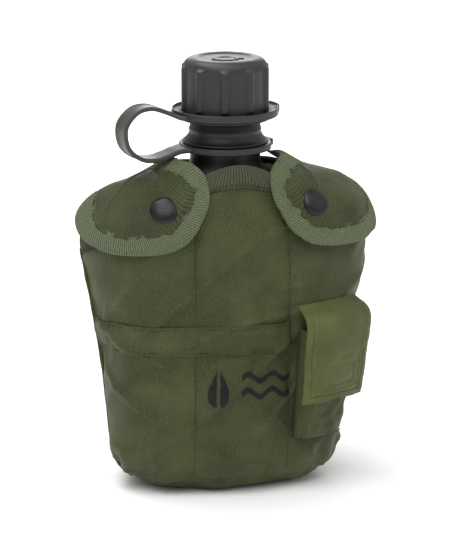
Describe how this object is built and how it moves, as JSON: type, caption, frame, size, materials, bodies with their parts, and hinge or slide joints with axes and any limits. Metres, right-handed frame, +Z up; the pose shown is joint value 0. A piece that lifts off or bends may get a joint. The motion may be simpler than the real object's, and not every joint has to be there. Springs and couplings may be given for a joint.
{
  "type": "canteen with belt cover",
  "caption": "Flat kidney-shaped plastic canteen with a tethered screw cap, in a pile-lined nylon cover with snapped shoulder flaps, a small pocket and belt clips.",
  "frame": {"origin": "centre of the base on the neck's axis, on the surface that the cover stands on", "axes": "+Z up along the neck, +X to the right seen from the front, the front with the snaps and the pocket faces -Y"},
  "size_m": [0.1532, 0.1046, 0.218],
  "materials": {
    "nylon_cover": "oxford weave nylon with a faint sheen",
    "nylon_light": "oxford weave nylon, lighter",
    "binding_tape": "ribbed woven tape",
    "pile_lining": "acrylic pile",
    "hook_loop": "hook and loop tape",
    "bottle_plastic": "blow-moulded, satin",
    "cap_plastic": "moulded, satin",
    "gasket_rubber": "matte",
    "black_metal": "black oxide with a satin lacquer",
    "clip_steel": "phosphated steel"
  },
  "bodies": {
    "root": {"bottle": "bottle_plastic", "tether_neck_ring": "cap_plastic", "cover_front_panel": "nylon_cover", "cover_back_panel": "nylon_cover", "cover_base_panel": "nylon_cover", "liner_front": "pile_lining", "liner_back": "pile_lining", "liner_base": "pile_lining", "collar_binding": "binding_tape", "side_seam_left": "binding_tape", "side_seam_right": "binding_tape", "front_band": "nylon_cover", "snap_stud_left": "black_metal", "snap_post_left": "black_metal", "snap_stud_right": "black_metal", "snap_post_right": "black_metal", "pocket_body": "nylon_light", "pocket_flap_root": "nylon_light", "pocket_loop_tape": "hook_loop", "clip_keeper": "binding_tape", "clip_frame_left": "clip_steel", "clip_frame_right": "clip_steel", "drain_grommet": "black_metal", "drain_washer": "black_metal"},
    "tether": {"tether_cap_ring": "cap_plastic", "tether_strap": "cap_plastic"},
    "cap": {"cap": "cap_plastic", "cap_gasket": "gasket_rubber"},
    "flap_left": {"flap_left": "nylon_cover", "flap_left_liner": "pile_lining", "flap_left_binding": "binding_tape", "snap_cap_left": "black_metal", "snap_socket_left": "black_metal"},
    "flap_right": {"flap_right": "nylon_cover", "flap_right_liner": "pile_lining", "flap_right_binding": "binding_tape", "snap_cap_right": "black_metal", "snap_socket_right": "black_metal"},
    "pocket_flap": {"pocket_flap": "nylon_light", "pocket_hook_tape": "hook_loop"},
    "clip_left": {"clip_slide_left": "clip_steel"},
    "clip_right": {"clip_slide_right": "clip_steel"}
  },
  "joints": [
    {"name": "cap_lift", "type": "slide", "parent": "root", "child": "tether", "axis": [0, 0, 1], "range_m": [0, 0.026], "deforming": ["tether_strap"]},
    {"name": "cap_turn", "type": "hinge", "parent": "tether", "child": "cap", "pos_m": [0, 0, 0.2], "axis": [0, 0, 1], "range_deg": [0, 1440]},
    {"name": "flap_left_open", "type": "hinge", "parent": "root", "child": "flap_left", "pos_m": [-0.04964, 0.00659, 0.15266], "axis": [-0.8366, 0.1057, -0.5375], "range_deg": [0, 85]},
    {"name": "flap_right_open", "type": "hinge", "parent": "root", "child": "flap_right", "pos_m": [0.04964, 0.00659, 0.15266], "axis": [-0.8366, -0.1057, 0.5375], "range_deg": [0, 85]},
    {"name": "pocket_flap_open", "type": "hinge", "parent": "root", "child": "pocket_flap", "pos_m": [0.05028, -0.04236, 0.0931], "axis": [-0.8849, -0.4658, 0], "range_deg": [0, 150]},
    {"name": "clip_left_slide", "type": "slide", "parent": "root", "child": "clip_left", "axis": [0, 0, 1], "range_m": [0, 0.006]},
    {"name": "clip_right_slide", "type": "slide", "parent": "root", "child": "clip_right", "axis": [0, 0, 1], "range_m": [0, 0.006]}
  ],
  "couplings": [
    {"joint": "cap_lift", "follows": "cap_turn", "m_per_rad": 0.001034}
  ]
}
